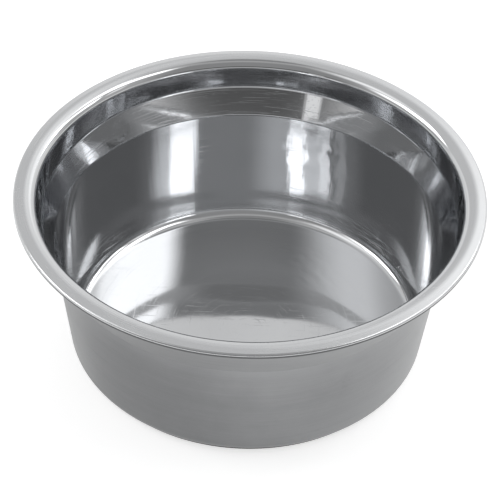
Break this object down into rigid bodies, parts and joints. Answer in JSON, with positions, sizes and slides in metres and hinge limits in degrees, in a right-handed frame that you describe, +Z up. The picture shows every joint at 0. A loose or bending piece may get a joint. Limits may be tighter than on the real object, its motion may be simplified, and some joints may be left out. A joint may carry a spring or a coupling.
{
  "type": "pet bowl",
  "caption": "Round drawn stainless steel pet bowl with tapered wall, stepped shoulder, wide rolled rim and a bonded non-slip ring under the base.",
  "frame": {"origin": "centre of the non-slip ring's underside, on the surface the bowl stands on", "axes": "+Z up along the bowl's axis of revolution, towards its open mouth"},
  "size_m": [0.21, 0.21, 0.0845],
  "materials": {
    "steel": "polished",
    "rubber": "matte"
  },
  "bodies": {
    "root": {"bowl_shell": "steel", "non_slip_ring": "rubber"}
  },
  "joints": []
}
